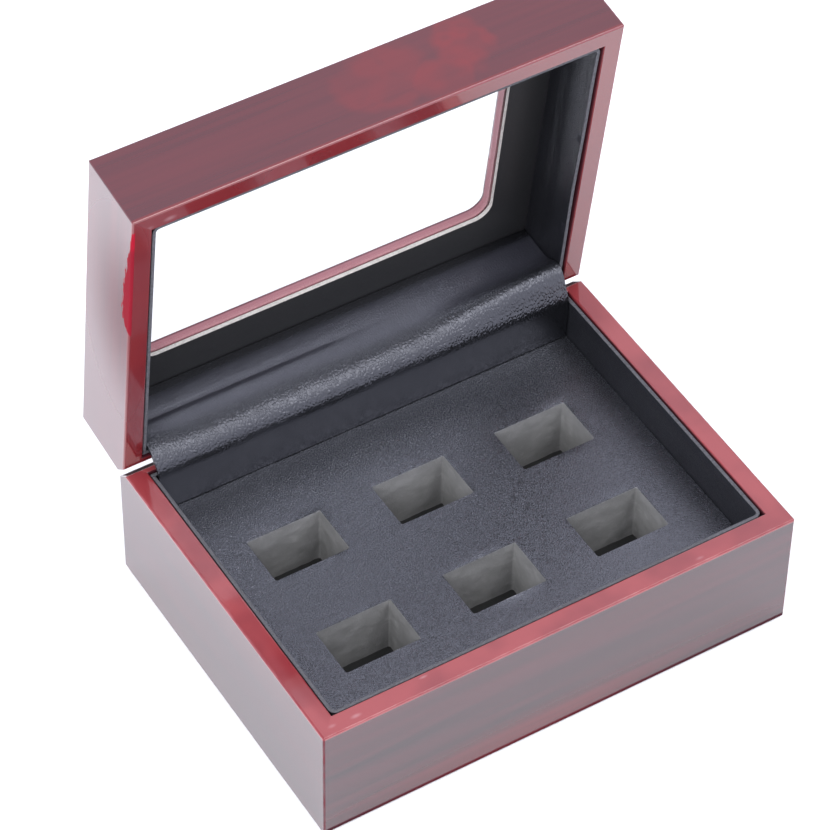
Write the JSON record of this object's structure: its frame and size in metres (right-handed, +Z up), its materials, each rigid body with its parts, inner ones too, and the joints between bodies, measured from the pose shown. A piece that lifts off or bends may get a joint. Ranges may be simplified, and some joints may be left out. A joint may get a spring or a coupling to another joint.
{
  "type": "ring display box",
  "caption": "Lacquered wooden ring display box with a leatherette-lined, slotted foam insert and a hinged lid with a clear window.",
  "frame": {"origin": "centre of the underside of the base, on the felt", "axes": "+Z up, -Y towards the front of the box, +X to its right seen from the front"},
  "size_m": [0.16, 0.1418, 0.1627],
  "materials": {
    "lacquered_wood": "burgundy stain with a streaky grain under high-gloss lacquer",
    "leatherette": "fine pebbled grain, satin, on card",
    "soft_leather": "soft, coarser pebbled grain with a bright sheen",
    "hinge_brass": "stamped and lightly tumbled",
    "felt": "short black pile",
    "black_card": "matte black",
    "foam": "grey foam, rough where it is cut",
    "clear_pane": "clear, thin",
    "faced_card": "black face on card with a raw cream edge"
  },
  "bodies": {
    "base": {"base_front_panel": "lacquered_wood", "base_rear_panel": "lacquered_wood", "base_left_panel": "lacquered_wood", "base_right_panel": "lacquered_wood", "base_board": "lacquered_wood", "base_felt": "felt", "slot_floor_card": "black_card", "ring_foam": "foam", "foam_cover": "leatherette", "base_lining": "leatherette", "base_rear_lining": "leatherette", "hinge_roll": "soft_leather", "hinge_base_leaf_left": "hinge_brass", "hinge_base_leaf_right": "hinge_brass", "hinge_pin_left": "hinge_brass", "hinge_pin_right": "hinge_brass", "hinge_base_screws": "hinge_brass"},
    "lid": {"lid_front_panel": "lacquered_wood", "lid_rear_panel": "lacquered_wood", "lid_left_panel": "lacquered_wood", "lid_right_panel": "lacquered_wood", "lid_top_frame": "lacquered_wood", "window_pane": "clear_pane", "pane_retainer": "faced_card", "lid_lining": "leatherette", "lid_rear_lining": "leatherette", "hinge_lid_leaf_left": "hinge_brass", "hinge_lid_leaf_right": "hinge_brass", "hinge_lid_screws": "hinge_brass"}
  },
  "joints": [
    {"name": "lid_hinge", "type": "hinge", "parent": "base", "child": "lid", "pos_m": [0, 0.0565, 0.04435], "axis": [1, 0, 0], "range_deg": [0, 82.4], "deforming": ["hinge_roll"]}
  ]
}
